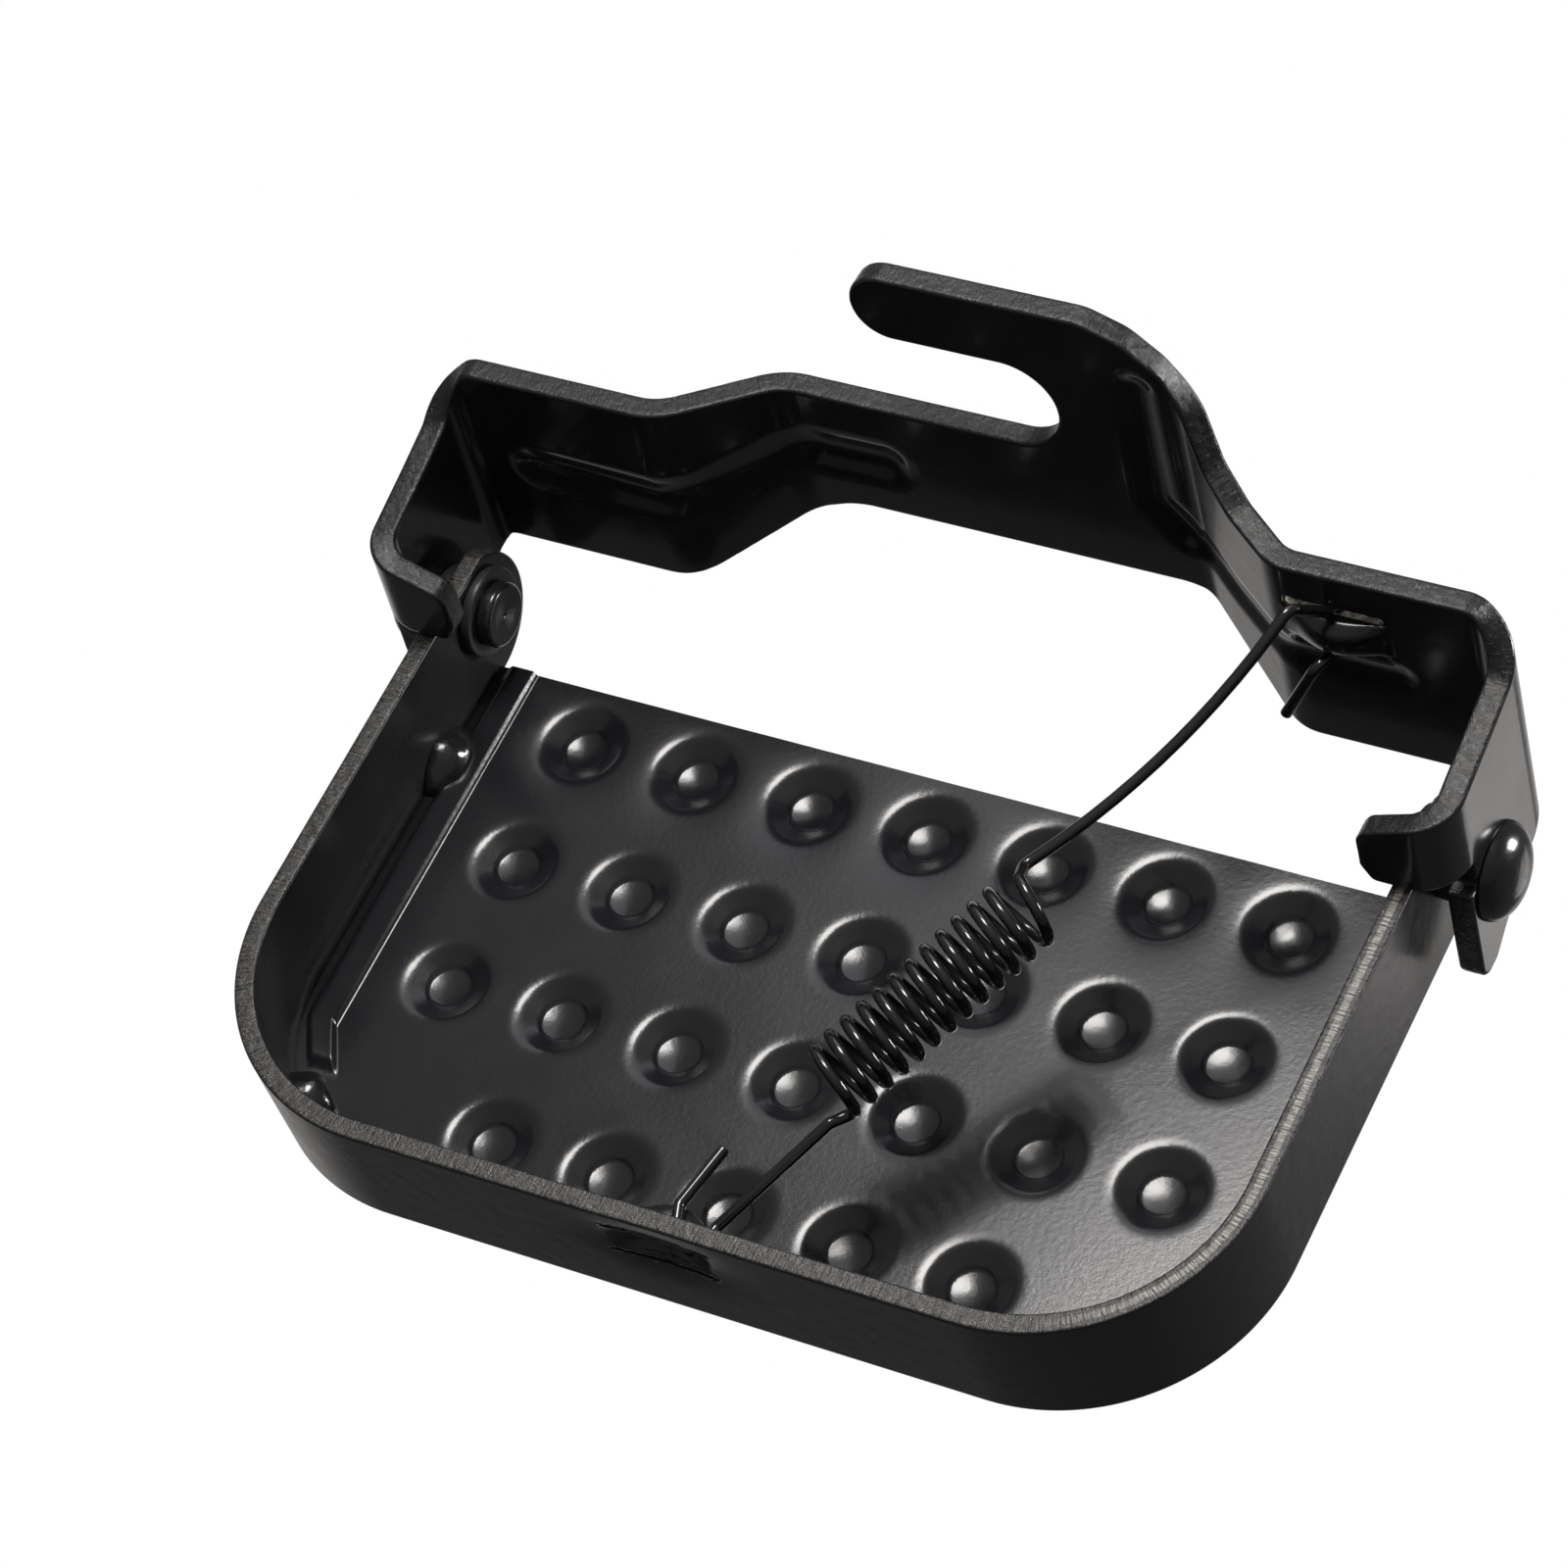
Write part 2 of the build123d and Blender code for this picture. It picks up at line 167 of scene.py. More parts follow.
def rounded(corners, step=1.0):
    """A closed outline from (a, b, radius) corners, as evenly spaced points."""
    out = []
    n = len(corners)
    for i in range(n):
        p = np.array(corners[i][:2], float)
        a = np.array(corners[i - 1][:2], float) - p
        b = np.array(corners[(i + 1) % n][:2], float) - p
        la, lb = np.linalg.norm(a), np.linalg.norm(b)
        a, b = a / la, b / lb
        angle = math.acos(max(-1, min(1, a @ b)))
        r = corners[i][2]
        if r <= 0 or angle > math.pi - 0.02:
            out.append(p)
            continue
        cut = min(r / math.tan(angle / 2), 0.499 * la, 0.499 * lb)
        r = cut * math.tan(angle / 2)
        mid = (a + b) / np.linalg.norm(a + b)
        centre = p + mid * math.hypot(r, cut)
        u, v = p + a * cut - centre, p + b * cut - centre
        sweep = math.acos(max(-1, min(1, (u @ v) / (r * r + 1e-12))))
        count = max(3, int(sweep * r / (0.5 * step)) + 2, int(sweep / 0.22) + 2)
        for k in range(count):
            t = k / (count - 1)
            w = (math.sin((1 - t) * sweep) * u + math.sin(t * sweep) * v) / math.sin(sweep)
            out.append(centre + w)
    pts = []
    for i, p in enumerate(out):
        q = out[(i + 1) % len(out)]
        d = np.linalg.norm(q - p)
        if d < 1e-4:
            continue
        pieces = max(1, int(math.ceil(d / step)))
        for k in range(pieces):
            pts.append(p + (q - p) * k / pieces)
    pts = np.array(pts)
    area = 0.5 * np.sum(pts[:, 0] * np.roll(pts[:, 1], -1) - np.roll(pts[:, 0], -1) * pts[:, 1])
    return pts if area > 0 else pts[::-1]


def inward(loop):
    """Unit vectors into the outline's inside, one a point, long enough at corners."""
    e = np.roll(loop, -1, axis=0) - loop
    e /= np.linalg.norm(e, axis=1)[:, None]
    left = np.stack([-e[:, 1], e[:, 0]], axis=1)
    before = np.roll(left, 1, axis=0)
    mid = left + before
    mid /= np.linalg.norm(mid, axis=1)[:, None]
    scale = 1 / np.clip((mid * left).sum(1), 0.5, 1)
    return mid * scale[:, None]


def inside(points, loop):
    x, y = points[:, 0][:, None], points[:, 1][:, None]
    x0, y0 = loop[:, 0][None], loop[:, 1][None]
    x1, y1 = np.roll(loop[:, 0], -1)[None], np.roll(loop[:, 1], -1)[None]
    cross = ((y0 > y) != (y1 > y)) & (x < (x1 - x0) * (y - y0) / (y1 - y0 + 1e-12) + x0)
    return cross.sum(1) % 2 == 1


def near(points, loop, distance):
    """Which points are closer to the loop's points than distance."""
    out = np.zeros(len(points), bool)
    for k in range(0, len(points), 4000):
        d = points[k : k + 4000, None] - loop[None]
        out[k : k + 4000] = ((d**2).sum(2)).min(1) < distance**2
    return out


def steps(lo, hi, coarse, fine, zones):
    """Stations from lo to hi, closer together in the zones."""
    out, x = [], lo
    while x < hi:
        out.append(x)
        x += fine if any(a <= x <= b for a, b in zones) else coarse
    return np.array(out + [hi])


def smooth_mesh(name, verts, faces, materials, slots=None, uvs=None, weld=2e-6):
    mesh = bpy.data.meshes.new(name)
    mesh.from_pydata([tuple(v) for v in verts], [], faces)
    if uvs is not None:
        layer = mesh.uv_layers.new(name="UVMap")
        index = np.zeros(len(mesh.loops), np.int64)
        mesh.loops.foreach_get("vertex_index", index)
        layer.data.foreach_set("uv", np.asarray(uvs, np.float32)[index].ravel())
    for m in materials:
        mesh.materials.append(m)
    if slots is not None:
        mesh.polygons.foreach_set("material_index", np.asarray(slots, np.int32))
    if weld:
        bm = bmesh.new()
        bm.from_mesh(mesh)
        bmesh.ops.remove_doubles(bm, verts=bm.verts, dist=weld)
        bmesh.ops.dissolve_degenerate(bm, edges=bm.edges, dist=1e-7)
        bm.to_mesh(mesh)
        bm.free()
    mesh.shade_smooth()
    obj = bpy.data.objects.new(name, mesh)
    bpy.context.scene.collection.objects.link(obj)
    return obj


def face_outward(obj, crease=None):
    """Turns every face outward, and keeps edges that bend more than crease degrees sharp."""
    bm = bmesh.new()
    bm.from_mesh(obj.data)
    bmesh.ops.recalc_face_normals(bm, faces=bm.faces)
    for e in bm.edges if crease else ():
        if len(e.link_faces) == 2 and e.calc_face_angle(0) > math.radians(crease):
            e.smooth = False
    bm.to_mesh(obj.data)
    bm.free()


def edge_rings(thickness, r):
    """(inset, height) of each ring down a sheet's edge: rounded, straight, rounded."""
    half = thickness / 2
    q = [math.radians(a) for a in (0, 25, 50, 70, 90)]
    curve = [(r * (1 - math.sin(a)), half - r * (1 - math.cos(a))) for a in q]
    wall = np.linspace(half - r, -half + r, max(4, int(thickness / 0.7)))[1:-1]
    rings = [(r + FACE_INSET, half)] + curve + [(0.0, w) for w in wall]
    return rings + [(i, -w) for i, w in reversed(curve)] + [(r + FACE_INSET, -half)]


def face_triangles(loops, grid):
    """The sheet's face between its outline and its openings: points and triangles."""
    def within(points):
        keep = inside(points, loops[0])
        for loop in loops[1:]:
            keep &= ~inside(points, loop)
        return keep

    s, z = np.meshgrid(*grid, indexing="ij")
    pts = np.stack([s.ravel(), z.ravel()], axis=1)
    pts = pts[within(pts)]
    edges = []
    base = 0
    for loop in loops:
        pts = pts[~near(pts, loop, 0.55)]
        edges += [(base + i, base + (i + 1) % len(loop)) for i in range(len(loop))]
        base += len(loop)
    flat = np.concatenate([*loops, pts])
    got = delaunay_2d_cdt([Vector(p) for p in flat], edges, [], 1, 1e-5)
    out = np.array([tuple(v) for v in got[0]])
    tris = np.array([f for f in got[2] if len(f) == 3])
    tris = tris[within(out[tris].mean(1))]
    a, b, c = out[tris[:, 0]], out[tris[:, 1]], out[tris[:, 2]]
    area = (b - a)[:, 0] * (c - a)[:, 1] - (b - a)[:, 1] * (c - a)[:, 0]
    tris[area < 0] = tris[area < 0][:, ::-1]
    return out, tris


def pressed(name, loops, place, thickness, edge_r, grid, materials, relief, rough=0.0, seed=1,
            torn=()):
    """A sheet-metal piece: outlines in strip coordinates (s, z), rounded and sheared edges.

    place(s, z, w) gives the point w out of the sheet's middle; relief(s, z) is how far the
    sheet is pressed out of its plane; grid is (s stations, z stations). The walls of the
    loops numbered in torn get the third material above their middle."""
    r, half = edge_r, thickness / 2
    rings = edge_rings(thickness, r)
    verts, faces, slots, uvs = [], [], [], []
    inner = []
    base = 0
    for number, loop in enumerate(loops):
        n = len(loop)
        normal = inward(loop)
        around = np.concatenate([[0], np.cumsum(np.linalg.norm(np.diff(loop, axis=0), axis=1))])
        for k, (inset, w) in enumerate(rings):
            depth = np.full(n, float(inset))
            if rough and inset < r * 0.5:
                key = np.stack([around, np.full(n, w * 1.7), np.full(n, float(base))], axis=1)
                bump = value_noise(key, 0.9, seed) + 0.7 * value_noise(key, 2.6, seed + 3)
                depth = depth + rough * (0.6 + bump * 0.6) * (1 - inset / r)
            p = loop + normal * depth[:, None]
            lift = relief(p[:, 0], p[:, 1])
            verts.append(place(p[:, 0], p[:, 1], w + lift))
            uvs.append(np.stack([around * MM * UV_SCALE, np.full(n, w * MM * UV_SCALE)], axis=1))
        for k in range(len(rings) - 1):
            a = base + k * n + np.arange(n)
            b = base + k * n + (np.arange(n) + 1) % n
            for i in range(n):
                faces.append((a[i], b[i], b[i] + n, a[i] + n))
            side = 1 if rings[k][0] < r * 0.35 and rings[k + 1][0] < r * 0.35 else 0
            if number in torn and side:
                slots += [2 if z > loop[:, 1].mean() else 1 for z in loop[:, 1]]
            else:
                slots += [side] * n
        inner.append(loop + normal * (r + FACE_INSET))
        base += n * len(rings)
    out, tris = face_triangles(inner, grid)
    lift = relief(out[:, 0], out[:, 1])
    for w, flip in ((half, False), (-half, True)):
        verts.append(place(out[:, 0], out[:, 1], w + lift))
        uvs.append(out * MM * UV_SCALE)
        t = tris + base
        faces += [tuple(f) for f in (t[:, ::-1] if flip else t)]
        slots += [0] * len(t)
        base += len(out)
    verts = np.concatenate(verts)
    obj = smooth_mesh(name, verts, faces, materials, slots, np.concatenate(uvs))
    face_outward(obj)
    return obj


# ---- materials -------------------------------------------------------------------
def new_material(name):
    mat = bpy.data.materials.new(name)
    mat.use_nodes = True
    nt = mat.node_tree
    nt.nodes.clear()
    out = nt.nodes.new("ShaderNodeOutputMaterial")
    bsdf = nt.nodes.new("ShaderNodeBsdfPrincipled")
    nt.links.new(bsdf.outputs["BSDF"], out.inputs["Surface"])
    return mat, nt, bsdf


def node(nt, kind, **values):
    n = nt.nodes.new("ShaderNode" + kind)
    for key, value in values.items():
        if key in n.inputs:
            n.inputs[key].default_value = value
        else:
            setattr(n, key, value)
    return n


def noise(nt, vector, scale, detail=3.0, roughness=0.55):
    n = node(nt, "TexNoise", Scale=scale, Detail=detail, Roughness=roughness)
    nt.links.new(vector, n.inputs["Vector"])
    return n.outputs["Fac"]


def spread(nt, value, lo, hi, out_lo, out_hi):
    n = node(nt, "MapRange")
    for key, v in zip(("From Min", "From Max", "To Min", "To Max"), (lo, hi, out_lo, out_hi)):
        n.inputs[key].default_value = v
    nt.links.new(value, n.inputs["Value"])
    return n.outputs["Result"]


def mix_colour(nt, fac, a, b):
    n = node(nt, "Mix", data_type="RGBA")
    nt.links.new(fac, n.inputs[0])
    for slot, c in ((6, a), (7, b)):
        if isinstance(c, tuple):
            n.inputs[slot].default_value = (*c, 1)
        else:
            nt.links.new(c, n.inputs[slot])
    return n.outputs[2]


def bump(nt, height, strength, distance, normal=None):
    n = node(nt, "Bump", Strength=strength, Distance=distance)
    nt.links.new(height, n.inputs["Height"])
    if normal is not None:
        nt.links.new(normal, n.inputs["Normal"])
    return n.outputs["Normal"]


def powder_coat(name, dark, light, rough, peel_scale, peel, grain, coat=0.0, mottle=14.0):
    """Black powder coat: orange peel, finer grain and slow changes of shade and gloss."""
    mat, nt, bsdf = new_material(name)
    where = node(nt, "TexCoord").outputs["Object"]
    shade = spread(nt, noise(nt, where, mottle, 4.0), 0.3, 0.7, 0.0, 1.0)
    nt.links.new(mix_colour(nt, shade, dark, light), bsdf.inputs["Base Color"])
    patch = noise(nt, where, mottle * 4, 5.0, 0.6)
    nt.links.new(spread(nt, patch, 0.25, 0.75, rough[0], rough[1]), bsdf.inputs["Roughness"])
    big = bump(nt, noise(nt, where, peel_scale, 1.5, 0.5), peel[0], peel[1])
    fine = bump(nt, noise(nt, where, peel_scale * 3.4, 3.0, 0.6), grain[0], grain[1], big)
    nt.links.new(fine, bsdf.inputs["Normal"])
    bsdf.inputs["Specular IOR Level"].default_value = 0.5
    bsdf.inputs["Coat Weight"].default_value = coat
    bsdf.inputs["Coat Roughness"].default_value = 0.06
    return mat


NOWHERE = (9.0, 10.0)  # metres: a stretch of X that no piece reaches


def product(nt, a, b):
    n = node(nt, "Math", operation="MULTIPLY")
    nt.links.new(a, n.inputs[0])
    nt.links.new(b, n.inputs[1])
    return n.outputs[0]


def sheared_edge(name, dark, glint, tick, strong_marks_x=NOWHERE, shine=0.35):
    """A sheared edge under paint: granular, with bright flecks painted into its colour as glints
    (painted highlights), and upright tear marks.

    The marks are drawn strongest beyond the X range strong_marks_x, near the middle of the sheet's
    thickness."""
    mat, nt, bsdf = new_material(name)
    where = node(nt, "TexCoord").outputs["Object"]
    uv = node(nt, "UVMap").outputs["UV"]
    cells = node(nt, "TexVoronoi", Scale=1500.0)
    nt.links.new(where, cells.inputs["Vector"])
    # painted highlight: bright flecks mixed into the base colour stand in for glints off the granular
    # edge
    painted_glint_cell = spread(nt, cells.outputs["Distance"], 0.0, 0.35, 1.0, 0.0)
    clumps = spread(nt, noise(nt, where, 420.0, 4.0, 0.7), 0.52, 0.68, 0.0, 0.75)
    painted_glint_specks = product(nt, painted_glint_cell, clumps)
    stretch = node(nt, "Mapping")
    stretch.inputs["Scale"].default_value = (220.0, 12.0, 1.0)
    nt.links.new(uv, stretch.inputs["Vector"])
    tears = noise(nt, stretch.outputs["Vector"], 1.0, 3.0, 0.6)
    place = node(nt, "SeparateXYZ")
    nt.links.new(where, place.inputs[0])
    # the tear marks are drawn brighter past a given X and near the middle of the edge's thickness
    beyond = spread(nt, place.outputs[0], strong_marks_x[0], strong_marks_x[1], 0.0, 1.0)
    on_edge = node(nt, "SeparateXYZ")
    nt.links.new(uv, on_edge.inputs[0])
    off_middle = node(nt, "Math", operation="ABSOLUTE")
    nt.links.new(on_edge.outputs[1], off_middle.inputs[0])
    middle = spread(nt, off_middle.outputs[0], 0.005, 0.008, 1.0, 0.0)
    mark_strength = spread(nt, product(nt, middle, beyond), 0.0, 1.0, 0.12, 1.0)
    marks = product(nt, spread(nt, tears, 0.40, 0.60, 0.0, tick), mark_strength)
    total = node(nt, "Math", operation="ADD", use_clamp=True)
    nt.links.new(painted_glint_specks, total.inputs[0])
    nt.links.new(marks, total.inputs[1])
    nt.links.new(mix_colour(nt, total.outputs[0], dark, glint), bsdf.inputs["Base Color"])
    rough = spread(nt, noise(nt, where, 700.0, 4.0), 0.3, 0.7, 0.14, 0.42)
    nt.links.new(rough, bsdf.inputs["Roughness"])
    grain = bump(nt, noise(nt, where, 620.0, 5.0, 0.7), 0.42, 0.0007)
    nt.links.new(bump(nt, tears, shine, 0.0004, grain), bsdf.inputs["Normal"])
    bsdf.inputs["Specular IOR Level"].default_value = 0.45
    return mat


def torn_metal(name):
    """Bare steel where a slit was torn open: mottled warm grey, rough and bright."""
    mat, nt, bsdf = new_material(name)
    where = node(nt, "TexCoord").outputs["Object"]
    shade = spread(nt, noise(nt, where, 900.0, 4.0), 0.4, 0.6, 0.0, 1.0)
    colour = mix_colour(nt, shade, (0.16, 0.14, 0.12), (0.72, 0.66, 0.58))
    nt.links.new(colour, bsdf.inputs["Base Color"])
    nt.links.new(bump(nt, noise(nt, where, 1200.0, 4.0), 0.5, 0.0004), bsdf.inputs["Normal"])
    bsdf.inputs["Roughness"].default_value = 0.35
    return mat


GLOSS_BLACK = powder_coat(
    "bracket_gloss_black", (0.007, 0.007, 0.008), (0.012, 0.012, 0.013), (0.13, 0.24),
    260.0, (0.12, 0.0004), (0.06, 0.0002), coat=0.25,
)
BAND_BLACK = powder_coat(
    "band_satin_black", (0.009, 0.009, 0.010), (0.014, 0.014, 0.015), (0.24, 0.36),
    300.0, (0.16, 0.0004), (0.10, 0.0002),
)
TREAD_GREY = powder_coat(
    "tread_dark_grey", (0.007, 0.007, 0.009), (0.012, 0.012, 0.014), (0.17, 0.22),
    900.0, (0.06, 0.0003), (0.05, 0.0002),
)
WIRE_BLACK = powder_coat(
    "spring_gloss_black", (0.006, 0.006, 0.007), (0.011, 0.011, 0.012), (0.10, 0.20),
    600.0, (0.06, 0.0002), (0.04, 0.0001), coat=0.4,
)
WELD_BLACK = powder_coat(
    "weld_gloss_black", (0.006, 0.006, 0.006), (0.012, 0.012, 0.012), (0.10, 0.26),
    420.0, (0.30, 0.0006), (0.16, 0.0003), coat=0.3,
)
RIVET_BLACK = powder_coat(
    "rivet_gloss_black", (0.007, 0.007, 0.008), (0.013, 0.013, 0.014), (0.15, 0.28),
    500.0, (0.16, 0.0004), (0.08, 0.0002), coat=0.2,
)
WASHER_BLACK = powder_coat(
    "washer_black", (0.014, 0.014, 0.015), (0.026, 0.026, 0.028), (0.30, 0.45),
    600.0, (0.14, 0.0003), (0.12, 0.0002),
)
TORN_METAL = torn_metal("torn_bare_metal")
PLATE_EDGE = sheared_edge("bracket_sheared_edge", (0.006, 0.006, 0.006), (0.22, 0.21, 0.20), 0.3)
BAND_EDGE = sheared_edge(
    "band_sheared_edge", (0.006, 0.006, 0.006), (0.42, 0.40, 0.36), 1.0, strong_marks_x=(-0.075, -0.092),
)


# ---- where the camera is -----------------------------------------------------------
CAM_AT = Vector((-451.9, -623.8, -741.6)) * MM
CAM_FORWARD = Vector((0.43637, 0.52092, 0.73364))
CAM_RIGHT = Vector((-0.86981, 0.45288, 0.19579))
CAM_UP = Vector((0.23025, 0.72356, -0.65072))
SENSOR, LENS = 36.0, 133.92  # millimetres
TARGET = CAM_AT + CAM_FORWARD * 1.093  # the middle of the part, as the camera sees it


# ---- reliefs ---------------------------------------------------------------------
def groove_depth(s, z, path, width, depth):
    """How deep a pressed groove is at (s, z): round-bottomed, along a path."""
    best = np.full(len(s), 1e9)
    for (a0, b0), (a1, b1) in zip(path[:-1], path[1:]):
        d = np.array([a1 - a0, b1 - b0])
        t = np.clip(((s - a0) * d[0] + (z - b0) * d[1]) / (d @ d), 0, 1)
        best = np.minimum(best, np.hypot(s - a0 - t * d[0], z - b0 - t * d[1]))
    u = np.clip(best / (width / 2), 0, 1)
    return depth * (0.5 + 0.5 * np.cos(math.pi * u))


def ramp(x, lo, hi):
    t = np.clip((x - lo) / (hi - lo), 0, 1)
    return t * t * (3 - 2 * t)


def strap_lift(s, z, s0, s1, z0, z1, lift):
    """The band between two slits, pressed out of the plane with sloping ends."""
    across = ramp(z, z0 - 0.6, z0) * ramp(-z, -z1 - 0.6, -z1)
    crown = 1 - 0.25 * np.clip((z - (z0 + z1) / 2) / ((z1 - z0) / 2), -1, 1) ** 2
    u = np.clip((s - s0) / (s1 - s0), 0, 1)
    return lift * across * crown * np.sin(math.pi * u) ** 1.3


# ---- the bracket -----------------------------------------------------------------
BRACKET = Strip(
    [(-94.5, -13.5), (-ARM_X, -13.5), (-ARM_X, 22), (-66.5, 22), (-44.5, 36.5),
     (42.5, 36.5), (62.5, 22), (ARM_X, 22), (ARM_X, -13.5), (94.5, -13.5)],
    (6.2, 6.2, 9.0, 9.0, 13.0, 14.0, 6.2, 6.2),
)
TABLE_S = np.linspace(0, BRACKET.length, 6000)
TABLE_P = BRACKET.at(TABLE_S)[0]


def s_back(x):
    """Distance along the bracket of the point at x on its back half (side to side)."""
    back = TABLE_P[:, 1] > 16
    return float(np.interp(x, TABLE_P[back, 0], TABLE_S[back]))


def s_arm(side, y):
    """Distance along the bracket of the point at y on an arm."""
    arm = (np.abs(np.abs(TABLE_P[:, 0]) - ARM_X) < 3) & (TABLE_P[:, 0] * side > 0)
    ys, ss = TABLE_P[arm, 1], TABLE_S[arm]
    order = np.argsort(ys)
    return float(np.interp(y, ys[order], ss[order]))


def s_tab(side, x):
    """Distance along the bracket of the point at |x| on a stop tab."""
    run = (TABLE_P[:, 1] < -8) & (TABLE_P[:, 0] * side > 0)
    xs, ss = np.abs(TABLE_P[run, 0]), TABLE_S[run]
    order = np.argsort(xs)
    return float(np.interp(x, xs[order], ss[order]))


LOBE_Z = -6.5  # above this, an arm's end runs straight on past its tab's bend
S_LOBE = {side: s_arm(side, ARM_END_Y) for side in (-1, 1)}


def bracket_at(s, z, w):
    s, z, w = (np.broadcast_to(v, np.shape(s)).astype(float) for v in (s, z, w))
    pos, nor = BRACKET.at(s)
    p = pos + nor * w[:, None]
    for side in (-1, 1):
        past = (s - S_LOBE[side]) * side > 0
        m = past & (z > LOBE_Z)
        p[m, 0] = side * (ARM_X + w[m])
        p[m, 1] = ARM_END_Y - np.abs(s[m] - S_LOBE[side])
    return bracket_place(np.stack([p[:, 0], p[:, 1], z], axis=1))


BEAD_RIGHT = [(s_back(x), z) for x, z in ((93, -22.5), (66, -21.5), (40, -29.5), (22.5, -29.8))]
BEAD_UPRIGHT = [(s_back(x), z) for x, z in ((-35.6, -66), (-35.6, -37), (-41, -30))]
BEAD_LOW = [(s_back(x), z) for x, z in ((-41, -30), (-54, -25), (-66, -22.5), (-88, -22))]
STRAP_S = (s_back(-88), s_back(-67))


def bracket_relief(s, z):
    faint = ramp(s, s_back(36.0), s_back(41.0)) * ramp(-s, -s_back(66.0), -s_back(57.0))
    lift = (1 - 0.55 * faint) * groove_depth(s, z, BEAD_RIGHT, 14.0, 1.9)
    lift = np.maximum(lift, groove_depth(s, z, BEAD_UPRIGHT, 11.0, 1.6))
    lift = np.maximum(lift, groove_depth(s, z, BEAD_LOW, 10.0, 1.0))
    return lift - strap_lift(s, z, *STRAP_S, -34.5, -28.0, 4.0)


def bracket_outline():
    top, low = [], []
    for side in (-1, 1):
        edge = [
            (s_tab(side, 94.3), -12.9, 2.0),
            (s_tab(side, 96.6), REST_Z, 2.0),
            (s_tab(side, 104.5), REST_Z, 4.0),
            (s_arm(side, -7.5), -10.8, 1.2),
            (s_arm(side, -7.5) + side * 0.1, -4.6, 1.0),
            (S_LOBE[side] + side * 3.7, -4.6, 0.8),
            (S_LOBE[side] + side * 3.7, 19.0, 3.4),
            (s_arm(side, -5.0), 18.6, 3.0),
            (s_arm(side, -0.5), 15.6, 8.0),
            (s_arm(side, 10.5), 9.4, 8.0),
            (s_arm(side, 15.5), 7.6, 4.0),
            (s_back(side * 104.4), -0.5, 5.0),
        ]
        if side < 0:
            edge += [(s_back(-66), -0.5, 18.0), (s_back(-41), -16.5, 16.0)]
        else:
            edge += [(s_back(65), -0.5, 20.0), (s_back(31), -16.5, 20.0)]
        under = [
            (s_tab(side, 94.3), -19.8, 2.0),
            (s_tab(side, 96.0), -22.0, 3.0),
            (s_tab(side, 106.0), -26.0, 12.0),
            (s_arm(side, -9.0), -27.6, 8.0),
            (s_arm(side, 5), -31.3, 20.0),
            (s_arm(side, 15.0), -34.2, 6.0),
            (s_back(side * 104.4), -45.0, 5.0),
        ]
        top.append(edge if side < 0 else edge[::-1])
        low.append(under)
    hook = [
        (s_back(-64), -45.0, 12.0),
        (s_back(-56), -46.8, 4.0),
        (s_back(-50), -52.0, 5.0),
        (s_back(-46.5), -62.5, 10.0),
        (s_back(-41.0), -71.8, 10.0),
        (s_back(-34.5), -77.6, 10.0),
        (s_back(-26.5), -80.7, 10.0),
        (s_back(21), -80.7, 7.65),
        (s_back(21), -65.3, 7.65),
        (s_back(-18.3), -65.3, 10.1),
        (s_back(-18.3), -45.0, 10.1),
    ]
    return rounded(top[0] + top[1] + low[1] + hook[::-1] + low[0][::-1], 0.9)


def slit(s0, s1, z0, z1):
    r = (z1 - z0) / 2 * 0.95
    return rounded([(s0, z0, r), (s1, z0, r), (s1, z1, r), (s0, z1, r)], 0.5)


def hole(s, z, r):
    a = np.linspace(0, 2 * math.pi, 40, endpoint=False)
    return np.stack([s + r * np.cos(a), z + r * np.sin(a)], axis=1)


def build_bracket():
    s0, s1 = STRAP_S
    loops = [
        bracket_outline(),
        slit(s0, s1, -38.5, -34.7),
        slit(s0, s1, -27.8, -24.4),
        hole(s_arm(-1, 0), 0, BORE_R),
        hole(s_arm(1, 0), 0, BORE_R),
    ]
    zones = BRACKET.bends() + [(min(p[0] for p in b) - 6, max(p[0] for p in b) + 6)
                               for b in (BEAD_RIGHT, BEAD_UPRIGHT, BEAD_LOW)]
    zones.append((s0 - 2, s1 + 2))
    grid = (
        steps(-5, BRACKET.length + 5, 2.0, 0.7, zones),
        steps(-82, 20, 2.0, 0.8, [(-70, -14)]),
    )
    obj = pressed("bracket_body", loops, bracket_at, PLATE_T, 0.7, grid,
                  [GLOSS_BLACK, PLATE_EDGE, TORN_METAL], bracket_relief, rough=0.08, seed=5,
                  torn=(1,))
    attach(obj, "bracket")
    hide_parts("latch_bracket")


# ---- the band --------------------------------------------------------------------
BAND_REAR = 16  # from the hinge line back to where the strip's length is counted from
BAND = Strip(
    [(-102, BAND_REAR), (-102, -118.1), (102, -118.1), (102, BAND_REAR)],
    (40.0, 40.0),
)


def band_at(s, z, w):
    s, z, w = (np.broadcast_to(v, np.shape(s)).astype(float) for v in (s, z, w))
    pos, nor = BAND.at(s)
    p = pos + nor * w[:, None]
    return pedal_place(np.stack([p[:, 0], p[:, 1], z], axis=1))


S_MID = BAND.length / 2


def band_relief(s, z):
    x = s - S_MID
    loop = strap_lift(x, z, -13.0, 11.0, -4.2, 0.8, 5.8)
    dent = 1.5 * np.exp(-((x + 1.0) / 11.0) ** 2 - ((z + 1.8) / 5.5) ** 2)
    key = np.stack([x, z, np.zeros(len(x))], axis=1)
    lumps = 0.35 * value_noise(key, 1.5, 21) + 0.2 * value_noise(key, 0.8, 22)
    patch = np.exp(-((x + 1.0) / 10.0) ** 4 - ((z + 1.8) / 4.2) ** 4)
    return np.maximum(loop, dent) + lumps * patch


def level_run(s0, s1, z, step=0.9, gap=0.5):
    """Outline points from s0 towards s1 at the height z, short of both."""
    way = 1 if s1 > s0 else -1
    s = np.arange(s0 + way * step, s1 - way * gap, way * step)
    return np.stack([s, np.full(len(s), z)], axis=1)


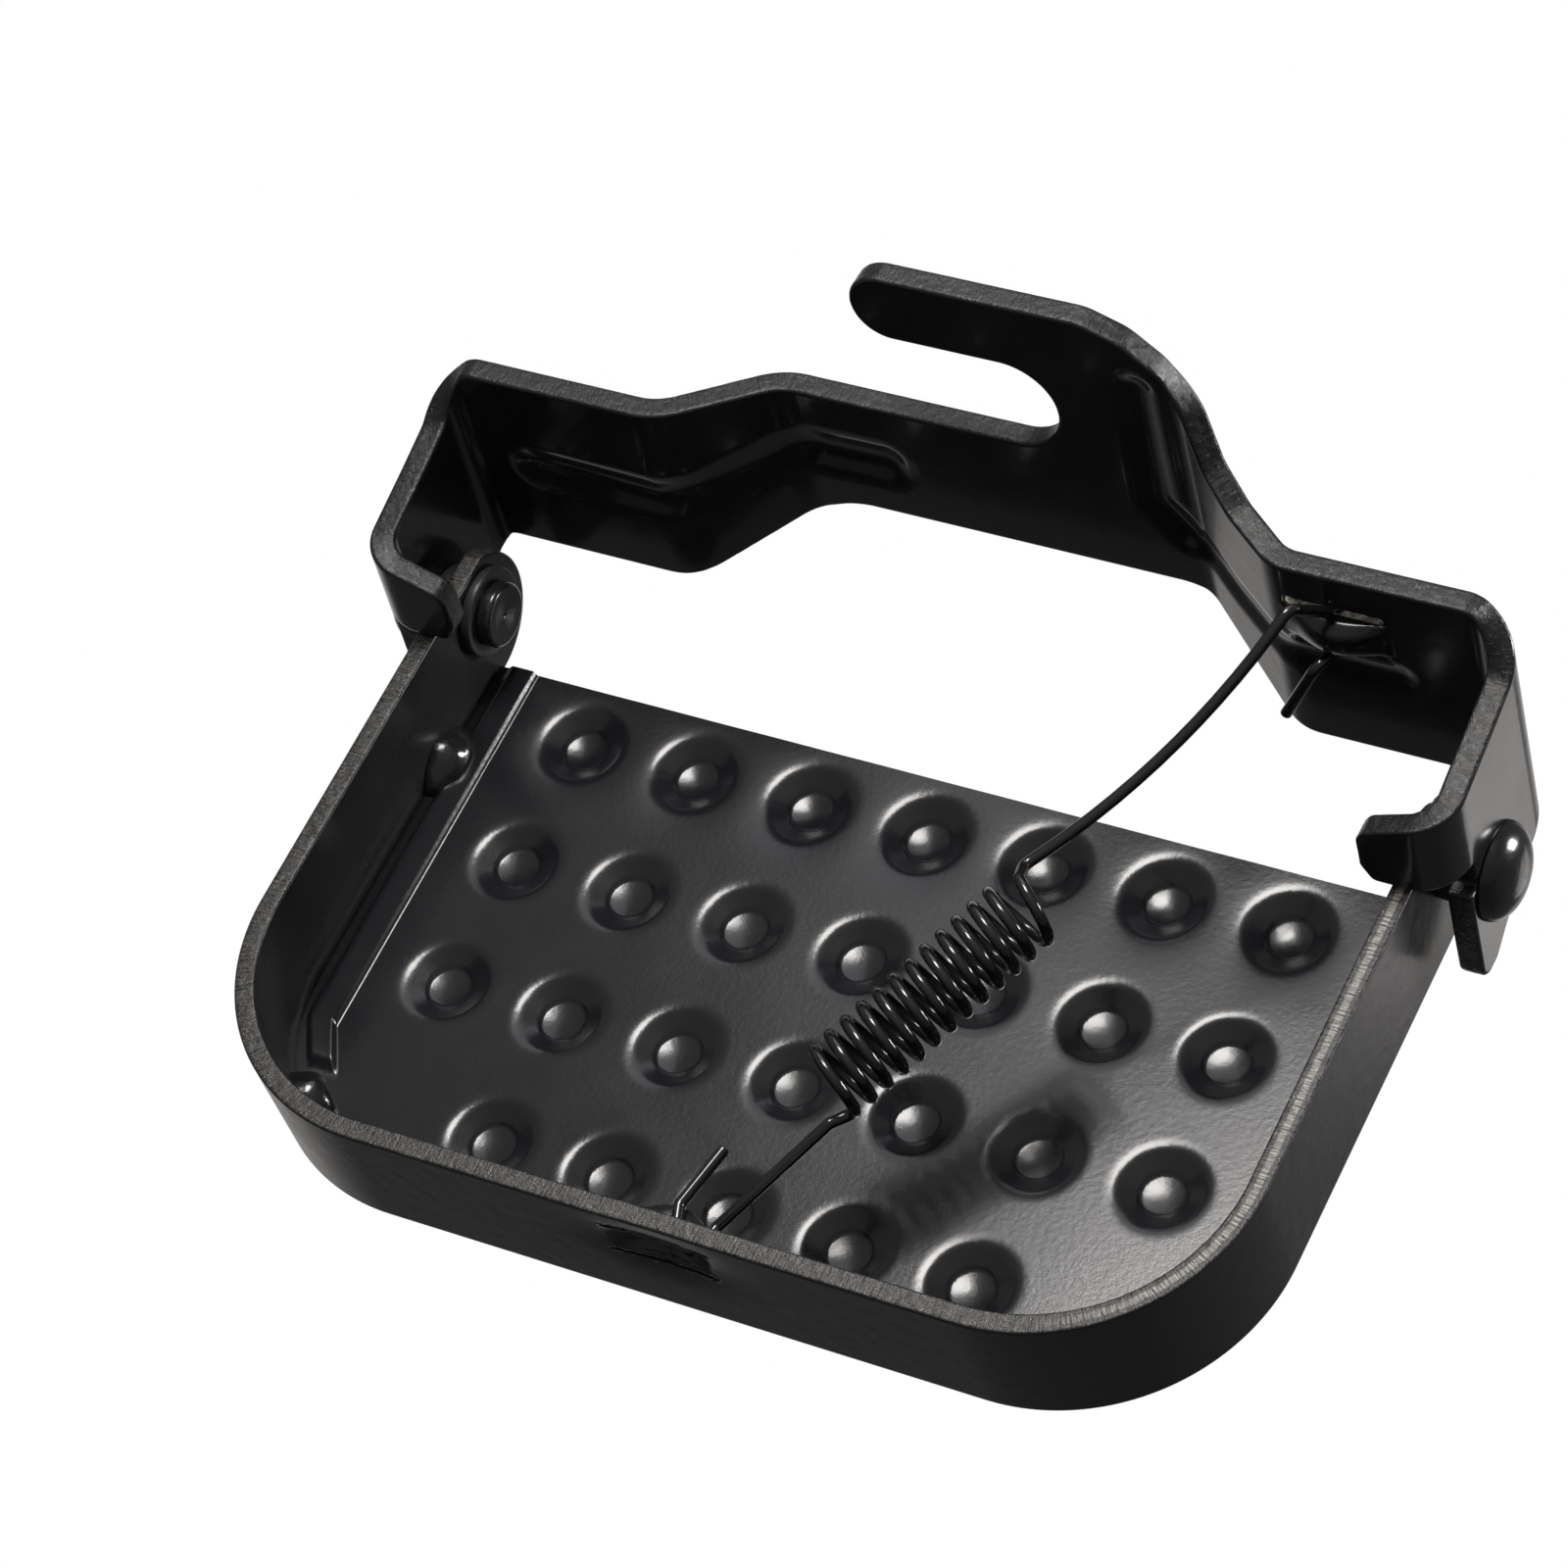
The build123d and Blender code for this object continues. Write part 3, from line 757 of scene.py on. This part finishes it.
def band_outline():
    """The unrolled band: each rear end is a round lug, centred a little off the hinge line."""
    lug_s, lug_z, lug_r = BAND_REAR + 1.5, 2.6, 14.5
    a = np.radians(np.linspace(-62.8, 90, 26))
    near_lug = np.stack([lug_s - lug_r * np.cos(a), lug_z + lug_r * np.sin(a)], axis=1)
    a = a[::-1]
    far_lug = np.stack([BAND.length - lug_s + lug_r * np.cos(a), lug_z + lug_r * np.sin(a)], axis=1)
    top = level_run(near_lug[-1][0], far_lug[0][0], BAND_TOP)
    rim = level_run(far_lug[-1][0], near_lug[0][0], BAND_RIM)
    return np.concatenate([near_lug, top, far_lug, rim])[::-1]


def build_band():
    loops = [
        band_outline(),
        slit(S_MID - 13, S_MID + 11, -7.0, -4.4),
        slit(S_MID - 13, S_MID + 11, 1.0, 3.4),
        hole(BAND_REAR, 0, 4.05),
        hole(BAND.length - BAND_REAR, 0, 4.05),
    ]
    zones = BAND.bends() + [(S_MID - 20, S_MID + 20)]
    grid = (
        steps(0, BAND.length, 2.2, 0.8, zones),
        steps(BAND_RIM, BAND_TOP, 1.3, 0.55, [(-8, 5)]),
    )
    obj = pressed("pedal_band_body", loops, band_at, BAND_T, 0.55, grid,
                  [BAND_BLACK, BAND_EDGE], band_relief, rough=0.09, seed=9)
    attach(obj, "pedal")
    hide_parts("pedal_band")


# ---- the tread plate -------------------------------------------------------------
DIMPLE_PITCH, ROW_PITCH, FIRST_ROW = 25.0, 28.66, -14.4
ROWS = (7, 7, 7, 5)
DIMPLES = [
    ((i - (n - 1) / 2) * DIMPLE_PITCH, FIRST_ROW - row * ROW_PITCH)
    for row, n in enumerate(ROWS)
    for i in range(n)
]
# A dimple's profile, radius and height: a crowned disc, a step down, and a flared foot.
DIMPLE_R = (0, 1, 2, 3, 4.0, 4.35, 4.6, 8.0, 8.6, 9.2, 9.8, 10.6, 11.0)
DIMPLE_H = (2.75, 2.73, 2.66, 2.55, 2.40, 2.33, 1.95, 0.37, 0.17, 0.07, 0.02, 0.0, 0.0)
DISC_ZONE = 5.3  # each side of a dimple's middle, where the sheet's mesh is finest
# The profile's corners are softened by averaging it over 0.4 mm, in steps of 0.01 mm.
FINE_R = np.linspace(0, 11.5, 1151)
KERNEL = np.exp(-np.linspace(-3, 3, 41) ** 2)
FINE_H = np.interp(np.abs(np.linspace(-0.2, 11.7, 1191)), DIMPLE_R, DIMPLE_H)
FINE_H = np.convolve(FINE_H, KERNEL / KERNEL.sum(), "valid")


def dimple(r):
    """How far the sheet is pushed up at distance r from a dimple's middle."""
    return np.interp(r, FINE_R, FINE_H)


def sheet_height(x, y):
    h = np.zeros(len(x))
    for cx, cy in DIMPLES:
        r = np.hypot(x - cx, y - cy)
        m = r < DIMPLE_R[-1]
        h[m] = np.maximum(h[m], dimple(r[m]))
    rear = DIMPLES[: ROWS[0]]
    dish = sum(np.exp(-((x - cx) ** 2 + (y - cy + 1.5) ** 2) / 8.0**2) for cx, cy in rear)
    return h + 0.8 * dish


def hem_depth(x, y):
    """The folded strip beside each side wall, standing down from the sheet."""
    ax = np.abs(x) + np.clip((-87 - y) * 0.55, 0, 9)
    strip = ramp(ax, 91.5, 92.1) * (1 - ramp(ax, 96.6, 98.2))
    return 1.2 * strip * ramp(y, -97.5, -94)


def build_tread():
    half = HALF_W - BAND_T
    arc = CORNER_R - BAND_T
    front = FRONT + BAND_T
    columns = [(x - DISC_ZONE, x + DISC_ZONE) for x, _ in DIMPLES[: ROWS[0]]]
    hems = [(-98.5, -90.5), (90.5, 98.5)]
    xs = steps(-half, half, 0.55, 0.38, columns + hems)
    lines = [(y - DISC_ZONE, y + DISC_ZONE) for _, y in DIMPLES[:: ROWS[0]]]
    t = steps(front, SHEET_REAR, 0.55, 0.38, lines)
    t = (t - front) / (SHEET_REAR - front)
    rows = len(t)
    over = np.clip(np.abs(xs) - (half - arc), 0, arc)
    start = front + arc - np.sqrt(np.maximum(arc**2 - over**2, 0))
    x = np.repeat(xs, rows)
    y = (start[:, None] + (SHEET_REAR - start[:, None]) * t[None]).ravel()
    up = sheet_height(x, y)
    down = hem_depth(x, y)
    n = len(x)
    rear = np.tile(t, len(xs)) > 1 - 1e-9
    round_off = np.where(rear, 0.25, 0.0)
    under = pedal_place(np.stack([x, y, SHEET_BOTTOM + up - down + round_off], axis=1))
    above = pedal_place(np.stack([x, y, BAND_TOP + up - round_off], axis=1))
    cols = len(xs)
    faces = []
    for i in range(cols - 1):
        a = i * rows + np.arange(rows - 1)
        b = a + rows
        faces += [(p, p + 1, q + 1, q) for p, q in zip(a, b)]
        faces += [(n + p, n + q, n + q + 1, n + p + 1) for p, q in zip(a, b)]
    rim = [i * rows for i in range(cols)]
    rim += [(cols - 1) * rows + j for j in range(1, rows)]
    rim += [i * rows + rows - 1 for i in range(cols - 2, -1, -1)]
    rim += [j for j in range(rows - 2, 0, -1)]
    faces += [(p, q, q + n, p + n) for p, q in zip(rim, rim[1:] + rim[:1])]
    verts = np.concatenate([under, above])
    obj = smooth_mesh("tread_sheet", verts, faces, [TREAD_GREY], weld=0)
    face_outward(obj, crease=50)
    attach(obj, "pedal")
    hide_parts("tread_plate")


# ---- the spring ------------------------------------------------------------------
def fillet_path(points, radius, step=0.5):
    """An open path through points (N x 3), its corners rounded."""
    pts = [np.array(p, float) for p in points]
    out = [pts[0]]
    for i in range(1, len(pts) - 1):
        a, b = pts[i - 1] - pts[i], pts[i + 1] - pts[i]
        la, lb = np.linalg.norm(a), np.linalg.norm(b)
        a, b = a / la, b / lb
        angle = math.acos(max(-1, min(1, a @ b)))
        if angle > math.pi - 0.02:
            out.append(pts[i])
            continue
        cut = min(radius / math.tan(angle / 2), 0.48 * la, 0.48 * lb)
        enter, leave = pts[i] + a * cut, pts[i] + b * cut
        for k in range(9):
            u = k / 8
            out.append((1 - u) ** 2 * enter + 2 * u * (1 - u) * pts[i] + u**2 * leave)
    out.append(pts[-1])
    dense = [out[0]]
    for p, q in zip(out[:-1], out[1:]):
        d = np.linalg.norm(q - p)
        pieces = max(1, int(d / step))
        for k in range(1, pieces + 1):
            dense.append(p + (q - p) * k / pieces)
    return np.array(dense)


def tube_mesh(path, radius, sides=20):
    """Vertices and faces of a round wire along path, with slightly rounded cut ends."""
    tangent = np.gradient(path, axis=0)
    tangent /= np.linalg.norm(tangent, axis=1)[:, None]
    normal = np.cross(tangent[0], [0.3, 0.2, 1.0])
    normal /= np.linalg.norm(normal)
    rings = []
    for i, (p, d) in enumerate(zip(path, tangent)):
        normal = normal - d * (normal @ d)
        normal /= np.linalg.norm(normal)
        side = np.cross(d, normal)
        a = np.linspace(0, 2 * math.pi, sides, endpoint=False)
        rings.append(p + radius * (np.cos(a)[:, None] * normal + np.sin(a)[:, None] * side))
    tip = ((0.96, 0.1), (0.8, 0.18), (0.02, 0.2))  # how wide and how far out, in radii
    ends = []
    for ring, p, d in ((rings[0], path[0], -tangent[0]), (rings[-1], path[-1], tangent[-1])):
        ends.append([p + (ring - p) * k + d * radius * o for k, o in tip])
    rings = ends[0][::-1] + rings + ends[1]
    verts = np.concatenate(rings)
    faces = []
    for i in range(len(rings) - 1):
        for j in range(sides):
            k = (j + 1) % sides
            faces.append((i * sides + j, i * sides + k, (i + 1) * sides + k, (i + 1) * sides + j))
    last = (len(rings) - 1) * sides
    faces.append(tuple(range(sides - 1, -1, -1)))
    faces.append(tuple(last + j for j in range(sides)))
    return verts, faces


def build_spring():
    start = bracket_place((-20.55, -83.82, -2.44)) / MM
    rise = np.array([-0.4848, 0.8314, -0.2716])
    rise /= np.linalg.norm(rise)
    side = np.array([-0.7516, -0.2372, 0.6155])
    side -= rise * (side @ rise)
    side /= np.linalg.norm(side)
    front = np.cross(side, rise)
    last = 4.2  # how far the last half turn climbs
    a = np.linspace(0, COIL_TURNS * 2 * math.pi, int(COIL_TURNS * 44) + 1)
    turn = a / (2 * math.pi)
    climb = turn * COIL_PITCH + (last - COIL_PITCH / 2) * ramp(turn, 11.9, COIL_TURNS)
    radius = COIL_R * (1 - 0.02 * ramp(-turn, -0.5, 0.0) - 0.12 * ramp(turn, 12.15, COIL_TURNS))
    coil = start + rise * climb[:, None]
    coil = coil + radius[:, None] * (np.cos(a)[:, None] * side + np.sin(a)[:, None] * front)
    back = coil[0] - coil[1]
    back /= np.linalg.norm(back)
    lower = [pedal_place(p) / MM for p in (
        (-5.2, -99.0, -6.2), (-2.2, -111.5, -5.6), (-4.0, -116.6, -5.6), (-5.5, -116.6, 2.0),
        (-7.0, -110.0, 2.0), (-21.0, -88.0, -5.6))]
    upper = [bracket_place(p) / MM for p in (
        (-72.5, 12.5, -42.8), (-76.3, 18.3, -37.3), (-77.0, 21.8, -36.5),
        (-77.5, 21.8, -26.3), (-74.5, 14.5, -25.8), (-68.0, 12.0, -14.0))]
    f = np.linspace(0.08, 0.92, 12)[:, None]
    leave = coil[-1] + (coil[-1] - coil[-3]) * 0.8 + rise * 1.6
    bow = 3.2 * np.array(CAM_RIGHT * 0.66 - CAM_UP * 0.75)  # how the spring's tail bends aside
    bowed = list(leave + (upper[0] - leave) * f + 4 * f * (1 - f) * bow)
    begin = fillet_path(lower + [coil[0] + back * 2.6, coil[2]], 1.9)
    end = fillet_path([coil[-5], leave] + bowed + upper, 2.6)
    path = np.concatenate([begin[:-1], coil[2:-5], end])
    verts, faces = tube_mesh(path, WIRE_R)
    obj = smooth_mesh("spring_wire", verts * MM, faces, [WIRE_BLACK], weld=0)
    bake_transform(obj)
    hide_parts("spring_coil", "spring_lower_hook")


# ---- turned and welded pieces ----------------------------------------------------
def lathe(name, profile, place, material, sides=72, wobble=0.0, seed=1):
    """A solid turned about the hinge line; profile is (x, radius) pairs, closed if it can be."""
    prof = np.array(profile, float)
    a = np.linspace(0, 2 * math.pi, sides, endpoint=False)
    verts = []
    for x, r in prof:
        ring = np.stack([np.full(sides, x), r * np.cos(a), r * np.sin(a)], axis=1)
        if wobble:
            ring[:, 0] += wobble * value_noise(ring, 2.2, seed) * (r > 0.5)
        verts.append(ring)
    verts = np.concatenate(verts)
    n = len(prof)
    faces = []
    for i in range(n):
        k = (i + 1) % n
        for j in range(sides):
            m = (j + 1) % sides
            faces.append((i * sides + j, i * sides + m, k * sides + m, k * sides + j))
    obj = smooth_mesh(name, place(verts), faces, [material])
    face_outward(obj)
    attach(obj, "bracket")
    return obj


def arc_points(cx, cr, r, a0, a1, n=6):
    return [
        (cx + r * math.cos(math.radians(a0 + (a1 - a0) * k / n)),
         cr + r * math.sin(math.radians(a0 + (a1 - a0) * k / n)))
        for k in range(n + 1)
    ]


def build_rivets():
    for side, hand in ((1, "right"), (-1, "left")):
        dome = [(113.0 + 5.2 * math.cos(t), 9.4 * math.sin(t) ** 0.85)
                for t in np.linspace(0.02, math.pi / 2, 22)]
        profile = [(118.2, 0.01)] + dome + [(113.0, 9.35), (113.0, BORE_R), (98.0, BORE_R), (98.0, 6.1)]
        profile += arc_points(97.3, 5.8, 0.7, 0, 90)[1:] + [(96.0, 6.5)]
        profile += arc_points(96.0, 5.5, 1.0, 90, 180)[1:] + [(95.2, 3.0), (95.5, 1.2), (95.6, 0.01)]
        profile = [(side * x, r) for x, r in profile]
        obj = lathe(f"rivet_{hand}", profile, bracket_place, RIVET_BLACK, wobble=0.05, seed=3)
        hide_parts(f"pivot_rivet_{hand}")
        for name, x0, x1, bore, outer, node_name in (
            ("spacer", 104.05, 108.0, BORE_R, 7.5, "pivot_spacer"),
            ("washer", 98.0, 99.95, BORE_R, 9.0, "clinch_washer"),
        ):
            c = 0.3  # the ring's chamfer and rounding
            ring = [(x0, bore + c), (x0, outer - c)] + arc_points(x0 + c, outer - c, c, 180, 90, 3)
            ring += arc_points(x1 - c, outer - c, c, 90, 0, 3) + [(x1, bore + c), (x1 - c, bore)]
            ring += [(x0 + c, bore)]
            obj = lathe(f"{name}_{hand}", [(side * x, r) for x, r in ring], bracket_place, WASHER_BLACK)
            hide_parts(f"{node_name}_{hand}")


WELD_SIZE = np.array([6.2, 7.4, 6.0])  # half a bead's width, length and depth


def weld_points(pts, spot, side, seed):
    """A unit sphere's points made a lumpy bead at spot (x, y, turn), inside the band's wall."""
    x, y, turn = spot
    half, arc = HALF_W - BAND_T, CORNER_R - BAND_T
    corner_x, corner_y = half - arc, FRONT + BAND_T + arc
    lump = 1 + 0.14 * value_noise(pts * 10, 9.0, seed) + 0.05 * value_noise(pts * 10, 4.0, 5)
    q = pts * lump[:, None] * WELD_SIZE
    c, s = math.cos(math.radians(-turn)), math.sin(math.radians(-turn))
    q = np.stack([q[:, 0] * c - q[:, 1] * s, q[:, 0] * s + q[:, 1] * c, q[:, 2]], axis=1)
    q = q * np.array([side, 1, 1]) + np.array([side * x, y, SHEET_BOTTOM])
    px, py = np.minimum(np.abs(q[:, 0]), half), q[:, 1]
    over_x, over_y = px - corner_x, corner_y - py
    in_corner = (over_x > 0) & (over_y > 0)
    dist = np.hypot(over_x, over_y)
    f = np.where(in_corner & (dist > arc), arc / np.maximum(dist, 1e-6), 1.0)
    px = np.where(in_corner, corner_x + over_x * f, px)
    py = np.where(in_corner, corner_y - over_y * f, py)
    q = np.stack([np.sign(q[:, 0]) * px, py, np.minimum(q[:, 2], SHEET_BOTTOM)], axis=1)
    return pedal_place(q)


def build_welds():
    """Lumpy beads in the corner between the band and the tread plate's underside."""
    half, arc = HALF_W - BAND_T, CORNER_R - BAND_T
    cut = arc * (1 - 1 / math.sqrt(2))
    spots = {"rear": (half, -26.4, 0.0), "front": (half - cut, FRONT + BAND_T + cut, 45.0)}
    for side, hand in ((1, "right"), (-1, "left")):
        for k, (name, spot) in enumerate(spots.items()):
            bm = bmesh.new()
            bmesh.ops.create_icosphere(bm, subdivisions=5, radius=1.0)
            points = weld_points(np.array([v.co for v in bm.verts]), spot, side, 11 + k)
            for v, p in zip(bm.verts, points):
                v.co = p
            if side < 0:
                bmesh.ops.reverse_faces(bm, faces=bm.faces)
            mesh = bpy.data.meshes.new(f"weld_{hand}_{name}")
            bm.to_mesh(mesh)
            bm.free()
            mesh.materials.append(WELD_BLACK)
            mesh.shade_smooth()
            obj = bpy.data.objects.new(mesh.name, mesh)
            bpy.context.scene.collection.objects.link(obj)
            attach(obj, "pedal")
            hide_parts(f"weld_bead_{hand}_{name}")


build_bracket()
build_band()
build_tread()
build_spring()
build_rivets()
build_welds()


# ---- camera, lights, floor -------------------------------------------------------
def place_camera():
    data = bpy.data.cameras.new("camera")
    data.sensor_width = SENSOR
    data.lens = LENS
    data.clip_start, data.clip_end = 0.01, 20.0
    cam = bpy.data.objects.new("camera", data)
    turn = Matrix((CAM_RIGHT, CAM_UP, -CAM_FORWARD)).transposed()
    cam.matrix_world = Matrix.Translation(CAM_AT) @ turn.to_4x4()
    bpy.context.scene.collection.objects.link(cam)
    bpy.context.scene.camera = cam


def from_target(right, up, back):
    """A place near the part, in metres along the camera's right, up and backward directions."""
    return TARGET + CAM_RIGHT * right + CAM_UP * up - CAM_FORWARD * back


def area_light(name, at, size, power, colour=(1, 1, 1), aim=TARGET):
    """A soft box at a place, facing aim; size is in metres and power in watts."""
    data = bpy.data.lights.new(name, "AREA")
    data.shape = "RECTANGLE"
    data.size, data.size_y = size
    data.energy = power
    data.color = colour
    obj = bpy.data.objects.new(name, data)
    turn = (aim - at).to_track_quat("-Z", "Y").to_matrix().to_4x4()
    obj.matrix_world = Matrix.Translation(at) @ turn
    bpy.context.scene.collection.objects.link(obj)


def build_lights():
    cool, warm, warmer = (0.93, 0.96, 1.0), (1.0, 0.97, 0.94), (1.0, 0.96, 0.93)
    area_light("box_sheet", from_target(-0.07, 0.74, 0.19), (0.48, 0.70), 1.15, cool)
    area_light("key_front", from_target(-0.18, 0.75, 0.56), (0.32, 0.32), 7.2, warm)
    area_light("spark_shoulder", from_target(0.86, 0.27, 0.12), (0.16, 0.26), 8.0)
    arm_spot = Vector((-0.113, -0.022, 0.026))
    card_at = arm_spot + Vector((-0.153, 0.182, 0.257))
    area_light("card_arm", card_at, (0.11, 0.15), 0.055, warmer, aim=arm_spot)


def build_world():
    """White to the camera; to the part, a warm light that is brightest beyond it."""
    world = bpy.data.worlds.new("world")
    world.use_nodes = True
    nt = world.node_tree
    nt.nodes.clear()
    out = nt.nodes.new("ShaderNodeOutputWorld")
    seen = nt.nodes.new("ShaderNodeBackground")
    lit = nt.nodes.new("ShaderNodeBackground")
    seen.inputs["Color"].default_value = (1, 1, 1, 1)
    seen.inputs["Strength"].default_value = 1.0
    lit.inputs["Color"].default_value = (1.0, 0.97, 0.95, 1)
    aim = node(nt, "VectorMath", operation="DOT_PRODUCT")
    nt.links.new(node(nt, "TexCoord").outputs["Generated"], aim.inputs[0])
    aim.inputs[1].default_value = CAM_FORWARD
    strength = spread(nt, aim.outputs["Value"], 0.72, 0.97, 0.10, 0.8)
    nt.links.new(strength, lit.inputs["Strength"])
    pick = nt.nodes.new("ShaderNodeMixShader")
    path = nt.nodes.new("ShaderNodeLightPath")
    nt.links.new(path.outputs["Is Camera Ray"], pick.inputs[0])
    nt.links.new(lit.outputs[0], pick.inputs[1])
    nt.links.new(seen.outputs[0], pick.inputs[2])
    nt.links.new(pick.outputs[0], out.inputs["Surface"])
    bpy.context.scene.world = world


def build_floor():
    mesh = bpy.data.meshes.new("floor")
    reach, level = 3.0, -0.92
    corners = [(x * reach, y * reach, level) for x, y in ((-1, -1), (1, -1), (1, 1), (-1, 1))]
    mesh.from_pydata(corners, [], [(0, 1, 2, 3)])
    mat, nt, bsdf = new_material("pale_floor")
    where = node(nt, "TexCoord").outputs["Object"]
    tone = noise(nt, where, 3.0, 3.0)
    colour = mix_colour(nt, tone, (0.78, 0.78, 0.78), (0.84, 0.84, 0.84))
    nt.links.new(colour, bsdf.inputs["Base Color"])
    bsdf.inputs["Roughness"].default_value = 0.7
    mesh.materials.append(mat)
    floor = bpy.data.objects.new("floor", mesh)
    bpy.context.scene.collection.objects.link(floor)


place_camera()
build_lights()
build_world()
build_floor()
bpy.context.scene.view_settings.view_transform = "Standard"
